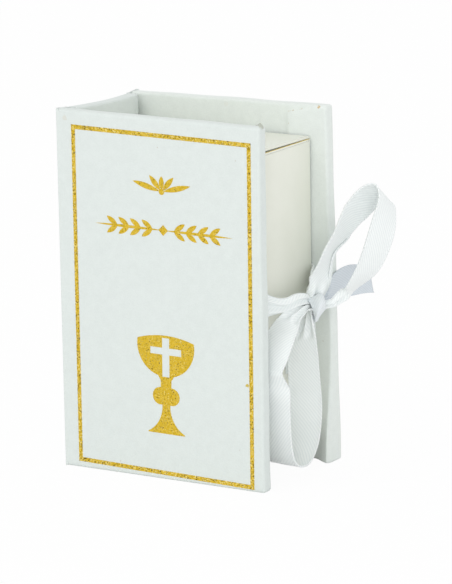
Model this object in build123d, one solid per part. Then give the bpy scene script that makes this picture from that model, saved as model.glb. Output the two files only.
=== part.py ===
"""Small book-shaped box of wrapped board with a paper carton inside and a ribbon bow.

Millimetres, +Z up. X runs across the covers from the spine to the fore-edge, and Y
runs through the depth from the front cover to the back cover. Z is 0 at the table.
"""

import os
from math import cos, radians, sin

from build123d import *

# Case: two covers and a spine, each a board wrapped in paper
case_width = 45.0
case_height = 70.0
case_depth = 29.0
board_thick = 2.0
paper_thick = 0.3
turn_in = 8.9
lap_slant = (4.6, 1.6)
lap_thick = 0.15
edge_round = 0.5
hinge_gap = 1.1
fold_clear = 0.05

# Carton: one folded card blank with a tuck lid
card_thick = 0.4
carton_gap = 0.6
carton_foot = 6.0
carton_head = 6.0
carton_setback = 4.0
glue_flap_width = 7.0
bottom_tuck_length = 7.5
bottom_dust_length = 9.0
lid_clear = 0.1
lid_lift = 0.8
lid_tuck_length = 8.0
lid_tuck_bend = 25.0
lid_tuck_inset = 1.6
lid_tuck_round = 3.0
dust_flap_length = 9.0
dust_flap_front = 1.8
dust_flap_taper = 1.3
glue_dab_radius = 3.0
glue_dab_rise = 18.0
glue_dab_spread = 12.0

# Foil print on the front cover
foil_depth = 0.1
border_line = 0.85
border_corners = [(-19.0, 67.6), (20.7, 67.0), (20.3, 0.5), (-19.2, 1.3)]
chalice_foot = (1.0, 9.1)
chalice_base = (4.1, 0.2)
chalice_flare = (1.7, 2.4)
chalice_stem = (0.9, 5.7)
chalice_knop = (3.0, 7.3)
chalice_neck = (1.2, 9.1, 10.5)
chalice_bowl = (1.8, 11.4)
chalice_side = (5.4, 14.0)
chalice_rim = (6.3, 18.3)
chalice_crown = (0.0, 19.3)
cross_post = (15.0, 1.6, 7.6)
cross_arms = (16.2, 6.9, 1.35)
print_turn = -0.6
sprig_centre = (1.2, 48.8)
sprig_half = 15.2
sprig_step = 2.6
sprig_leaf = (2.9, 1.0)
sprig_stem = 0.55
crest_centre = (1.0, 56.2)
crest_leaf = 1.1

# Ribbon
ribbon_width = 6.3
ribbon_thick = 0.25
ribbon_clear = 0.02
band_middle = 35.9
tie_lead = 0.5
knot_size = (3.4, 5.6, 4.8)
knot_centre = (23.9, 1.8, 32.8)
knot_turn = 28.0

# Derived limits
wall = board_thick + 2 * paper_thick
half_width = case_width / 2
half_depth = case_depth / 2
cover_start = -half_width + paper_thick + fold_clear
cover_inner = half_depth - wall
spine_half = cover_inner - hinge_gap
spine_inner = -half_width + wall
carton_y = cover_inner - carton_gap
carton_left = spine_inner + carton_gap
carton_right = half_width - carton_setback
carton_base = carton_foot
carton_top = case_height - carton_head
flap_top = carton_top - card_thick - lid_clear
side_top = flap_top - card_thick - fold_clear


def block(x: tuple, y: tuple, z: tuple) -> Part:
    """Box between two limits on each axis."""
    place = Pos((x[0] + x[1]) / 2, (y[0] + y[1]) / 2, (z[0] + z[1]) / 2)
    return place * Box(x[1] - x[0], y[1] - y[0], z[1] - z[0])


def upright(points: list, y: float, thick: float) -> Part:
    """Plate with an outline in X and Z, from y towards the front."""
    outline = make_face(Polyline(*points, close=True))
    return extrude(Plane.XZ.offset(-y) * outline, amount=thick, dir=(0, -1, 0))


def flat(points: list, z: float, thick: float) -> Part:
    """Plate with an outline in X and Y, from z upwards."""
    outline = make_face(Polyline(*points, close=True))
    return extrude(Plane.XY.offset(z) * outline, amount=thick, dir=(0, 0, 1))


def ease(solid: Part, radius: float) -> Part:
    """Round every edge except those on the open end at the spine."""
    open_end = solid.bounding_box().min.X + 0.01
    edges = [e for e in solid.edges() if e.bounding_box().max.X > open_end]
    return fillet(edges, radius)


def front_cover() -> tuple:
    """Wrap, board and lining of a cover whose outside faces the front."""
    outer, inner = -half_depth, -cover_inner
    across = (cover_start, half_width)
    whole = ease(block(across, (outer, inner), (0, case_height)), edge_round)
    board = block(
        (cover_start, half_width - paper_thick),
        (outer + paper_thick, inner - paper_thick),
        (paper_thick, case_height - paper_thick),
    )
    board = ease(board, edge_round - paper_thick)
    cut_edge = half_width - turn_in
    lining = block(
        (cover_start, cut_edge),
        (inner - paper_thick, inner),
        (turn_in, case_height - turn_in),
    )
    wrap = whole - board - lining
    flat_x = half_width - edge_round
    run, rise = lap_slant
    slant = [(cut_edge, rise), (cut_edge + run, edge_round), (flat_x, edge_round)]
    low = slant + [(flat_x, turn_in), (cut_edge, turn_in)]
    high = [(x, case_height - z) for x, z in low]
    for lap in (low, high):
        wrap += upright(lap, inner + lap_thick, lap_thick)
    return wrap, board, lining


def leaf(x: float, z: float, length: float, width: float, angle: float) -> Face:
    """Pointed leaf growing from its foot."""
    tip = (length, 0)
    top = ThreePointArc((0, 0), (length / 2, width / 2), tip)
    low = ThreePointArc(tip, (length / 2, -width / 2), (0, 0))
    return Pos(x, z) * Rot(0, 0, angle) * make_face([top, low])


def foil(face: Sketch) -> Part:
    """Print sunk flush into the face of the front cover."""
    plane = Plane.XZ.offset(half_depth - foil_depth)
    return extrude(plane * face, amount=foil_depth, dir=(0, -1, 0))


def border_face() -> Sketch:
    """Thin frame that follows the four printed corners."""
    whole = make_face(Polyline(*border_corners, close=True))
    inner = offset(whole, amount=-border_line, kind=Kind.INTERSECTION)
    return whole - inner


def chalice_face() -> Sketch:
    """Cup with a stem, a knop and a flared foot, with a cross left open in the bowl."""
    neck, neck_low, neck_high = chalice_neck
    base, base_high = chalice_base
    right = [
        ThreePointArc(chalice_rim, chalice_side, chalice_bowl),
        Line(chalice_bowl, (neck, neck_high)),
        Line((neck, neck_high), (neck, neck_low)),
        ThreePointArc((neck, neck_low), chalice_knop, chalice_stem),
        ThreePointArc(chalice_stem, chalice_flare, chalice_base),
        Line((base, base_high), (base, 0)),
    ]
    left = [mirror(edge, about=Plane.YZ) for edge in right]
    rim, rim_high = chalice_rim
    top = ThreePointArc((rim, rim_high), chalice_crown, (-rim, rim_high))
    low = Line((base, 0), (-base, 0))
    cup = make_face(right + left + [top, low])
    post = Pos(0, cross_post[0]) * Rectangle(*cross_post[1:])
    arms = Pos(0, cross_arms[0]) * Rectangle(*cross_arms[1:])
    return Pos(*chalice_foot) * Rot(0, 0, print_turn) * (cup - post - arms)


def sprig_face() -> Sketch:
    """Straight stem with paired leaves that lean away from a diamond in the middle."""
    length, width = sprig_leaf
    diamond = width * 1.5
    face = Rot(0, 0, 45) * Rectangle(diamond, diamond)
    face += leaf(0.0, 0.0, sprig_half, sprig_stem, 0)
    face += leaf(0.0, 0.0, sprig_half, sprig_stem, 180)
    x = sprig_step
    while x + length * 0.8 < sprig_half:
        for lean in (34, -34):
            root = x - width / 5
            face += leaf(root, 0, length, width, lean)
            face += leaf(-root, 0, length, width, 180 + lean)
        x += sprig_step
    return face


def crest_face() -> Sketch:
    """Small fan of five leaves."""
    face = Circle(crest_leaf * 0.55)
    reach = crest_leaf * 0.36
    for angle, length in ((90, 2.6), (48, 3.6), (132, 3.6), (14, 6.2), (166, 6.2)):
        foot = (reach * cos(radians(angle)), reach * sin(radians(angle)))
        face += leaf(foot[0], foot[1], length, crest_leaf, angle)
    return face


def strand(stations: list) -> Part:
    """Band through stations of centre, turn and tilt of its width, and width."""
    sections = []
    last = len(stations) - 1
    for i, (x, y, z, turn, tilt, width) in enumerate(stations):
        before = Vector(*stations[max(i - 1, 0)][:3])
        after = Vector(*stations[min(i + 1, last)][:3])
        way = (after - before).normalized()
        level = cos(radians(tilt))
        across = Vector(cos(radians(turn)) * level, sin(radians(turn)) * level, sin(radians(tilt)))
        across = (across - way * across.dot(way)).normalized()
        side = across * (width / 2)
        face_way = way.cross(across) * (ribbon_thick / 2)
        centre = Vector(x, y, z)
        corners = [
            centre - side - face_way,
            centre + side - face_way,
            centre + side + face_way,
            centre - side + face_way,
        ]
        sections.append(Face(Wire.make_polygon(corners, close=True)))
    return loft(sections)


# Covers
front_wrap, front_board, front_lining = front_cover()
back_wrap = mirror(front_wrap, about=Plane.XZ)
back_board = mirror(front_board, about=Plane.XZ)
back_lining = mirror(front_lining, about=Plane.XZ)

# Foil
foil_border = foil(border_face())
foil_chalice = foil(chalice_face())
sprig = Pos(*sprig_centre) * Rot(0, 0, print_turn) * sprig_face()
crest = Pos(*crest_centre) * Rot(0, 0, print_turn) * crest_face()
foil_ornament = foil(sprig) + foil(crest)
front_wrap = front_wrap - foil_border - foil_chalice - foil_ornament

# Spine
spine_x = (-half_width, spine_inner)
spine_y = (-spine_half, spine_half)
spine_whole = block(spine_x, spine_y, (0, case_height))
spine_whole = fillet(spine_whole.edges().filter_by(Axis.Y), edge_round)
spine_board = block(
    (spine_x[0] + paper_thick, spine_x[1] - paper_thick),
    spine_y,
    (paper_thick, case_height - paper_thick),
)
spine_board = fillet(spine_board.edges().filter_by(Axis.Y), edge_round - paper_thick)
spine_lining = block(
    (spine_x[1] - paper_thick, spine_x[1]),
    spine_y,
    (turn_in, case_height - turn_in),
)
spine_wrap = spine_whole - spine_board - spine_lining

# Paper hinges between the spine and the covers
front_hinge_strip = block(
    (-half_width, -half_width + paper_thick),
    (-half_depth, -spine_half),
    (0, case_height),
)
corner = front_hinge_strip.edges().filter_by(Axis.Z).sort_by(Axis.Y)[:2].sort_by(Axis.X)[0]
front_hinge_strip = fillet(corner, paper_thick * 0.8)
back_hinge_strip = mirror(front_hinge_strip, about=Plane.XZ)

# Carton body
inside_y = carton_y - card_thick
inside_left = carton_left + card_thick
inside_right = carton_right - card_thick
carton_x = (carton_left, carton_right)
carton_back_panel = block(carton_x, (inside_y, carton_y), (carton_base, flap_top))
carton_front_panel = block(
    carton_x, (-carton_y, -inside_y), (carton_base, carton_top - lid_clear)
)
carton_spine_side_panel = block(
    (carton_left, inside_left), (-inside_y, inside_y), (carton_base, side_top)
)
carton_fore_edge_panel = block(
    (inside_right, carton_right), (-inside_y, inside_y), (carton_base, side_top)
)
flap_low = carton_base + 2.0
flap_high = side_top - 2.0
flap_slope = 1.5
glue_flap_outline = [
    (inside_y, flap_low),
    (inside_y - glue_flap_width, flap_low + flap_slope),
    (inside_y - glue_flap_width, flap_high - flap_slope),
    (inside_y, flap_high),
]
glue_flap_face = make_face(Polyline(*glue_flap_outline, close=True))
carton_glue_flap = extrude(
    Plane.YZ.offset(inside_left) * glue_flap_face, amount=card_thick, dir=(1, 0, 0)
)
carton_bottom_panel = block(
    (inside_left, inside_right), (-inside_y, inside_y), (carton_base, carton_base + card_thick)
)
floor_top = carton_base + card_thick
tuck_inset = 1.0
carton_bottom_tuck = block(
    (inside_left + tuck_inset, inside_right - tuck_inset),
    (-inside_y, -inside_y + card_thick),
    (floor_top, floor_top + bottom_tuck_length),
)
dust_y = inside_y - card_thick - 1.0
dust_slope = 1.2


def bottom_dust(start: float, way: int) -> Part:
    """Short flap that lies on the carton's floor, from one side wall."""
    end = start + way * bottom_dust_length
    outline = [(start, -dust_y), (end, dust_slope - dust_y), (end, dust_y - dust_slope), (start, dust_y)]
    return flat(outline, floor_top, card_thick)


carton_bottom_dust_flap_spine = bottom_dust(inside_left, 1)
carton_bottom_dust_flap_fore = bottom_dust(inside_right, -1)

# Carton lid with its tuck flap, sprung up a little at the front
lid_back = carton_y - card_thick - fold_clear
lid_front = -inside_y + lid_clear
lid_x = (carton_left + lid_clear, carton_right - lid_clear)
lid_axis = Axis((0, carton_y, carton_top), (-1, 0, 0))
carton_lid = block(lid_x, (lid_front, carton_y), (carton_top - card_thick, carton_top))
tuck_x = (lid_x[0] + lid_tuck_inset, lid_x[1] - lid_tuck_inset)
tuck_high = carton_top - card_thick - fold_clear
carton_lid_tuck = block(
    tuck_x,
    (lid_front, lid_front + card_thick),
    (tuck_high - lid_tuck_length, tuck_high),
)
tuck_ends = carton_lid_tuck.edges().filter_by(Axis.Y).sort_by(Axis.Z)[:2]
carton_lid_tuck = fillet(tuck_ends, lid_tuck_round)
crease_axis = Axis((0, lid_front, carton_top), (1, 0, 0))
carton_lid_tuck = carton_lid_tuck.rotate(crease_axis, lid_tuck_bend)
crease_trim = block(
    tuck_x,
    (lid_front - card_thick, lid_front + 3 * card_thick),
    (tuck_high, carton_top + card_thick),
)
carton_lid_tuck -= crease_trim
carton_lid = carton_lid.rotate(lid_axis, lid_lift)
carton_lid_tuck = carton_lid_tuck.rotate(lid_axis, lid_lift)


def dust_flap(start: float, way: int) -> Part:
    """Flap on a side wall's top edge, cut back near the lid's hinge."""
    end = start + way * dust_flap_length
    near = -inside_y + dust_flap_front
    far = lid_back - 0.2
    bend = far - dust_flap_length / dust_flap_taper
    outline = [(start, near), (end, near + dust_slope), (end, bend), (start, far)]
    return flat(outline, flap_top - card_thick, card_thick)


carton_dust_flap_spine = dust_flap(carton_left, 1)
carton_dust_flap_fore = dust_flap(carton_right, -1)

# Glue between the carton and the back cover
carton_middle = (carton_left + carton_right) / 2
glue_heights = (glue_dab_rise, case_height - glue_dab_rise)
glue_dabs = [
    Pos(carton_middle + way * glue_dab_spread, (carton_y + cover_inner) / 2, height)
    * Rot(90, 0, 0)
    * Cylinder(glue_dab_radius, cover_inner - carton_y)
    for way in (-1, 1)
    for height in glue_heights
]
glue_dabs = Compound(children=glue_dabs)

# Ribbon: a band round the carton, two ties, a knot, two loops and two tails
band_z = (band_middle - ribbon_width / 2, band_middle + ribbon_width / 2)
band_out = carton_y + ribbon_clear + ribbon_thick
band_in = carton_y + ribbon_clear
band_left = carton_left - ribbon_clear
ribbon_band = block((band_left - ribbon_thick, carton_right), (-band_out, band_out), band_z)
ribbon_band -= block((band_left, carton_right), (-band_in, band_in), band_z)
tie_start = (band_in + band_out) / 2
front_tie = [
    (carton_right, -tie_start, band_middle, 90, 90, ribbon_width),
    (carton_right + tie_lead, -tie_start, band_middle, 90, 90, ribbon_width),
    (19.7, -10.6, 35.7, 60, 87, 6.0),
    (20.4, -8.6, 35.2, 60, 85, 5.0),
    (22.0, -5.8, 35.0, 60, 76, 3.8),
    (23.0, -3.0, 34.9, 65, 74, 2.8),
    (23.5, 0.0, 34.7, 70, 72, 2.4),
]
back_tie = [
    (carton_right, tie_start, band_middle, 90, 90, ribbon_width),
    (carton_right + tie_lead, tie_start, band_middle, 90, 90, ribbon_width),
    (20.0, 9.6, 35.6, 0, 85, 5.6),
    (21.2, 6.4, 34.8, -20, 80, 4.0),
    (22.4, 3.6, 33.8, -30, 75, 2.8),
    (23.4, 2.4, 33.2, -40, 75, 2.6),
]
lower_loop = [
    (24.3, 0.2, 30.6, -10, 8, 3.0),
    (24.0, -0.1, 28.6, 2, 6, 4.1),
    (23.5, -0.2, 26.2, 8, 4, 5.3),
    (23.2, -0.1, 23.6, 10, 4, 6.1),
    (23.2, 0.2, 20.0, 13, 2, 6.3),
    (23.1, 0.8, 14.4, 16, -1, 6.3),
    (22.8, 0.9, 9.4, 9, 1, 6.3),
    (22.6, 0.2, 5.7, 5, -1, 6.3),
    (22.3, -1.6, 3.3, 0, -4, 6.1),
    (22.1, -4.7, 3.1, -1, -2, 6.2),
    (22.0, -6.9, 4.5, -3, 1, 6.3),
    (22.0, -8.0, 7.1, -2, 3, 6.2),
    (22.0, -8.6, 10.4, 2, 4, 6.2),
    (22.0, -9.1, 14.3, 7, 3, 6.3),
    (22.3, -10.3, 19.4, 15, 3, 6.3),
    (22.0, -10.9, 22.2, -1, 6, 5.7),
    (22.4, -10.0, 25.5, 6, 3, 6.3),
    (22.7, -9.2, 27.7, 5, 1, 6.3),
    (23.2, -8.2, 29.5, 0, -8, 5.9),
    (23.6, -6.9, 31.1, -6, -16, 5.2),
    (23.9, -5.4, 32.2, -7, -19, 4.0),
    (24.3, -3.6, 32.8, -16, -23, 3.1),
    (24.6, -1.0, 33.3, -24, -23, 2.6),
    (24.5, 0.2, 33.1, -23, -30, 2.6),
]
lower_tail = [
    (23.5, 2.0, 31.8, 62, 0, 3.0),
    (22.3, 2.4, 28.4, 56, 0, 4.3),
    (21.3, 2.7, 24.0, 51, 0, 6.3),
    (21.1, 2.7, 19.5, 51, 0, 6.3),
]
upper_loop = [
    (25.2, 2.8, 32.9, 90, -42, 2.2),
    (28.3, 5.0, 34.1, 94, -38, 2.8),
    (30.3, 6.4, 36.4, 103, -18, 5.8),
    (32.7, 7.7, 39.7, 84, -24, 6.3),
    (34.2, 9.1, 43.6, 72, -23, 6.3),
    (35.1, 10.5, 47.9, 72, -23, 6.3),
    (35.1, 12.1, 51.8, 84, -27, 6.2),
    (34.4, 13.0, 53.4, 91, -32, 6.3),
    (33.1, 13.2, 53.9, 94, -42, 6.3),
    (31.5, 12.6, 53.4, 87, -47, 6.3),
    (30.5, 11.3, 52.3, 79, -46, 6.3),
    (29.0, 9.0, 49.6, 83, -35, 6.2),
    (27.5, 7.1, 46.0, 95, -17, 6.3),
    (26.5, 5.2, 43.1, 99, -7, 6.1),
    (25.9, 4.3, 40.6, 91, -3, 5.6),
    (25.2, 3.4, 37.3, 66, -11, 4.6),
    (24.5, 2.7, 34.8, 58, -17, 3.5),
]
upper_tail = [
    (23.4, 3.2, 32.2, 98, -57, 2.6),
    (23.2, 7.1, 32.8, 106, -56, 3.4),
    (23.4, 12.1, 34.4, 62, -73, 5.0),
    (23.8, 17.2, 34.9, 61, -79, 6.3),
    (24.5, 21.3, 34.6, 82, -77, 6.3),
    (25.0, 24.1, 34.2, 90, -76, 6.3),
]
knot_block = fillet(Box(*knot_size).edges(), 1.2)
ribbon_knot = Pos(*knot_centre) * Rot(knot_turn, 0, 0) * knot_block
ribbon_front_tie = strand(front_tie) - ribbon_knot
ribbon_back_tie = strand(back_tie) - ribbon_knot
ribbon_lower_loop = strand(lower_loop) - ribbon_knot
ribbon_lower_tail = strand(lower_tail) - ribbon_knot
ribbon_upper_loop = strand(upper_loop) - ribbon_knot
ribbon_upper_tail = strand(upper_tail) - ribbon_knot

nodes = {
    "front_board": front_board,
    "front_wrap": front_wrap,
    "front_lining": front_lining,
    "back_board": back_board,
    "back_wrap": back_wrap,
    "back_lining": back_lining,
    "spine_board": spine_board,
    "spine_wrap": spine_wrap,
    "spine_lining": spine_lining,
    "front_hinge_strip": front_hinge_strip,
    "back_hinge_strip": back_hinge_strip,
    "foil_border": foil_border,
    "foil_chalice": foil_chalice,
    "foil_ornament": foil_ornament,
    "carton_back_panel": carton_back_panel,
    "carton_front_panel": carton_front_panel,
    "carton_spine_side_panel": carton_spine_side_panel,
    "carton_fore_edge_panel": carton_fore_edge_panel,
    "carton_glue_flap": carton_glue_flap,
    "carton_bottom_panel": carton_bottom_panel,
    "carton_bottom_tuck": carton_bottom_tuck,
    "carton_bottom_dust_flap_spine": carton_bottom_dust_flap_spine,
    "carton_bottom_dust_flap_fore": carton_bottom_dust_flap_fore,
    "carton_lid": carton_lid,
    "carton_lid_tuck": carton_lid_tuck,
    "carton_dust_flap_spine": carton_dust_flap_spine,
    "carton_dust_flap_fore": carton_dust_flap_fore,
    "glue_dabs": glue_dabs,
    "ribbon_band": ribbon_band,
    "ribbon_front_tie": ribbon_front_tie,
    "ribbon_back_tie": ribbon_back_tie,
    "ribbon_knot": ribbon_knot,
    "ribbon_lower_loop": ribbon_lower_loop,
    "ribbon_lower_tail": ribbon_lower_tail,
    "ribbon_upper_loop": ribbon_upper_loop,
    "ribbon_upper_tail": ribbon_upper_tail,
}

os.makedirs("parts", exist_ok=True)
for name, shape in nodes.items():
    export_step(shape, f"parts/{name}.step")
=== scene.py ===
"""Book box: paper-covered case, card carton and satin bow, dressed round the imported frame.

Sizes are metres in the frame's own axes. X runs from the spine to the fore-edge, Y from
the front cover to the back cover, and Z is 0 at the table.
"""

from __future__ import annotations

import logging
import math
from dataclasses import dataclass, field
from enum import Enum
from typing import Any, Callable, Sequence

import bpy
import numpy as np
from mathutils import Matrix, Vector


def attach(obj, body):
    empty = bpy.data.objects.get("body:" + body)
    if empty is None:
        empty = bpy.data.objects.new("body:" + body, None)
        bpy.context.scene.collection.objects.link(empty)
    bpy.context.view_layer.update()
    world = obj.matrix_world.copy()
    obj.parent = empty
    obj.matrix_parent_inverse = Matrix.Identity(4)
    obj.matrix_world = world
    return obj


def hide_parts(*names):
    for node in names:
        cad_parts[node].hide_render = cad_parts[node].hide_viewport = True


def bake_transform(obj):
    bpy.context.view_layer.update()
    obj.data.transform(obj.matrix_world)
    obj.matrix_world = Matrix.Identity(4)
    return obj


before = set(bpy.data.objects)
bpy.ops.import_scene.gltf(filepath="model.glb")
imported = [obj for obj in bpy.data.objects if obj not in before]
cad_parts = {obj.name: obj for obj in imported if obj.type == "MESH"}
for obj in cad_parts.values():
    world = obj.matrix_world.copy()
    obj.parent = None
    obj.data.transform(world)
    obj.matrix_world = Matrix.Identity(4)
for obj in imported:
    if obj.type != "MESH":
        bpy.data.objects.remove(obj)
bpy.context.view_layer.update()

LOG = logging.getLogger("book_box")

Point = tuple[float, float, float]
Station = tuple[Point, Point]
Faces = list[list[int]]
Socket = bpy.types.NodeSocket
Material = bpy.types.Material


class Body(Enum):
    """The moving bodies that the new pieces ride on."""

    BACK = "carton_and_back"
    SPINE = "spine"
    FRONT = "front_cover"


class Slot(Enum):
    """The record's material slots."""

    BOARD = "board"
    COVER_PAPER = "cover_paper"
    SATIN_RIBBON = "satin_ribbon"


class Side(Enum):
    """The cover that a mesh belongs to, as the sign of its outward Y."""

    FRONT = -1
    BACK = 1


# Node wiring


class Wiring:
    """Adds the nodes of one tree and joins them."""

    def __init__(self, tree: bpy.types.NodeTree) -> None:
        """Take over a tree and empty it."""
        self.tree = tree
        tree.nodes.clear()

    def add(self, kind: str, inputs: dict[str | int, Any] | None = None, **settings: Any) -> bpy.types.Node:
        """Add one node.

        Args:
            kind: The node's type name.
            inputs: A value or a socket for each named or numbered input.
            settings: Properties of the node itself.

        Returns:
            The new node.
        """
        node = self.tree.nodes.new(kind)
        for name, value in settings.items():
            setattr(node, name, value)
        for name, value in (inputs or {}).items():
            if isinstance(value, Socket):
                self.tree.links.new(value, node.inputs[name])
            else:
                node.inputs[name].default_value = value
        return node

    def math(self, operation: str, *values: Any) -> Socket:
        """Return the result of one sum on up to three values."""
        return self.add("ShaderNodeMath", dict(enumerate(values)), operation=operation).outputs[0]

    def times(self, first: Any, second: Any) -> Socket:
        """Return the product of two values."""
        return self.math("MULTIPLY", first, second)

    def plus(self, first: Any, second: Any) -> Socket:
        """Return the sum of two values."""
        return self.math("ADD", first, second)

    def spread(
        self, value: Any, low: float, high: float, start: float = 0.0, end: float = 1.0
    ) -> Socket:
        """Return a value eased from one range to another.

        Args:
            value: The socket to read.
            low: The value that gives start.
            high: The value that gives end.
            start: The result at low.
            end: The result at high.

        Returns:
            The eased value's socket.
        """
        inputs = {"Value": value, "From Min": low, "From Max": high, "To Min": start, "To Max": end}
        return self.add("ShaderNodeMapRange", inputs, interpolation_type="SMOOTHSTEP").outputs[0]

    def mix(self, share: Any, first: Any, second: Any, blend: str = "MIX") -> Socket:
        """Return two colours mixed by a share."""
        inputs = {0: share, 6: first, 7: second}
        return self.add("ShaderNodeMix", inputs, data_type="RGBA", blend_type=blend).outputs[2]

    def tones(self, value: Any, span: Sequence[float], dark: str, light: str) -> Socket:
        """Return a colour between two tones.

        Args:
            value: The socket that picks the tone.
            span: The values that give the first tone and the second.
            dark: The first tone's screen colour.
            light: The second tone's screen colour.

        Returns:
            The colour's socket.
        """
        return self.mix(self.spread(value, *span), colour(dark), colour(light))

    def over(self, share: Any, base: Any, tint: str) -> Socket:
        """Return a colour with a share of another screen colour over it."""
        return self.mix(share, base, colour(tint))

    def place(self, stretch: Point = (1.0, 1.0, 1.0)) -> Socket:
        """Return the point on the object, stretched along each axis."""
        inputs = {"Vector": self.add("ShaderNodeTexCoord").outputs["Object"], "Scale": stretch}
        return self.add("ShaderNodeMapping", inputs).outputs[0]

    def axes(self, place: Any) -> Sequence[Socket]:
        """Return a point's X, Y and Z."""
        return self.add("ShaderNodeSeparateXYZ", {0: place}).outputs[:]

    def noise(self, place: Any, scale: Any, detail: float = 2.0, roughness: float = 0.5) -> Socket:
        """Return cloudy noise between 0 and 1.

        Args:
            place: The point to read it at.
            scale: Clouds for each metre.
            detail: How many finer layers are added.
            roughness: How strong the finer layers are.

        Returns:
            The noise's socket.
        """
        inputs = {"Vector": place, "Scale": scale, "Detail": detail, "Roughness": roughness}
        return self.add("ShaderNodeTexNoise", inputs).outputs[0]

    def cells(self, place: Any, scale: Any, feature: str = "F1") -> bpy.types.Node:
        """Return a node of scattered cells, this many for each metre."""
        return self.add("ShaderNodeTexVoronoi", {"Vector": place, "Scale": scale}, feature=feature)

    def bump(self, height: Any, distance: float) -> Socket:
        """Return a normal that is tilted by a height in metres."""
        return self.add("ShaderNodeBump", {"Height": height, "Distance": distance}).outputs[0]


def colour(code: str) -> tuple[float, float, float, float]:
    """Return a screen colour such as #E4ECEA in linear light.

    Args:
        code: The colour's code.

    Returns:
        Its red, green, blue and alpha.
    """
    channels = [int(code[i : i + 2], 16) / 255.0 for i in (1, 3, 5)]
    linear = [c / 12.92 if c <= 0.04045 else ((c + 0.055) / 1.055) ** 2.4 for c in channels]
    return (*linear, 1.0)


# Effects that several materials share


@dataclass(frozen=True)
class SharedEffect:
    """A node group that is built once and placed in each material with its own values.

    Besides the numbers in inputs, with their usual values, each group reads the point Place.
    """

    name: str
    inputs: dict[str, float]
    outputs: tuple[str, ...]
    wire: Callable[[Wiring, Any], dict[str, Socket]]

    def tree(self) -> bpy.types.NodeTree:
        """Return the group, built the first time that it is asked for.

        Returns:
            The group's tree.
        """
        known = bpy.data.node_groups.get(self.name)
        if known:
            return known
        tree = bpy.data.node_groups.new(self.name, "ShaderNodeTree")
        tree.interface.new_socket("Place", in_out="INPUT", socket_type="NodeSocketVector")
        for label, value in self.inputs.items():
            socket = tree.interface.new_socket(label, in_out="INPUT", socket_type="NodeSocketFloat")
            socket.default_value = value
        for label in self.outputs:
            tree.interface.new_socket(label, in_out="OUTPUT", socket_type="NodeSocketFloat")
        wiring = Wiring(tree)
        found = self.wire(wiring, wiring.add("NodeGroupInput").outputs)
        wiring.add("NodeGroupOutput", dict(found))
        return tree

    def into(self, wiring: Wiring, place: Any, **values: float) -> Any:
        """Place the group in a material's tree.

        Args:
            wiring: The material's wiring.
            place: The point on the object.
            values: The material's own values, by the input's name.

        Returns:
            The group's outputs.
        """
        return wiring.add("ShaderNodeGroup", {"Place": place, **values}, node_tree=self.tree()).outputs


def wire_felt(w: Wiring, given: Any) -> dict[str, Socket]:
    """Wire matted fibres: cloudy patches, fine grain and short crossing hairs.

    Args:
        w: The group's wiring.
        given: The group's inputs.

    Returns:
        The group's outputs by name.
    """
    place = given["Place"]
    fine = w.math("DIVIDE", 1.0, given["Size"])
    cloud = w.noise(place, w.times(fine, 0.13), 4.0, 0.6)
    grain = w.noise(place, fine, 3.0, 0.7)
    hair = w.cells(place, w.times(fine, 0.6), "SMOOTH_F1").outputs[0]
    tone = w.plus(w.times(cloud, 0.4), w.times(grain, 0.6))
    return {"Tone": tone, "Height": w.plus(w.times(grain, 0.65), w.times(hair, 0.35))}


def wire_specks(w: Wiring, given: Any) -> dict[str, Socket]:
    """Wire small scattered spots with ragged outlines, of which only a share is kept.

    Args:
        w: The group's wiring.
        given: The group's inputs.

    Returns:
        The group's outputs by name.
    """
    cells = w.cells(given["Place"], w.math("DIVIDE", 1.0, given["Spacing"]))
    edge = w.math("DIVIDE", given["Size"], given["Spacing"])
    reach = w.times(edge, w.times(w.noise(given["Place"], 9000.0, 1.0), 2.0))
    inside = w.math("LESS_THAN", cells.outputs["Distance"], reach)
    picked = w.add("ShaderNodeSeparateColor", {0: cells.outputs["Color"]}).outputs[0]
    return {"Spot": w.times(inside, w.math("LESS_THAN", picked, given["Share"]))}


def wire_rubbed(w: Wiring, given: Any) -> dict[str, Socket]:
    """Wire edges and corners that handling has rubbed, broken up by noise.

    Args:
        w: The group's wiring.
        given: The group's inputs.

    Returns:
        The group's outputs by name.
    """
    sharp = w.add("ShaderNodeNewGeometry").outputs["Pointiness"]
    high = w.plus(given["Start"], 0.05)
    edge = w.add("ShaderNodeMapRange", {"Value": sharp, "From Min": given["Start"], "From Max": high})
    broken = w.spread(w.noise(given["Place"], 1400.0, 4.0), 0.38, 0.62)
    return {"Rub": w.times(edge.outputs[0], broken)}


FELT = SharedEffect("matted_fibres", {"Size": 0.0004}, ("Tone", "Height"), wire_felt)
SPECKS = SharedEffect(
    "scattered_specks", {"Spacing": 0.004, "Size": 0.00012, "Share": 0.3}, ("Spot",), wire_specks
)
RUBBED = SharedEffect("rubbed_edges", {"Start": 0.52}, ("Rub",), wire_rubbed)


# Finishes


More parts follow.
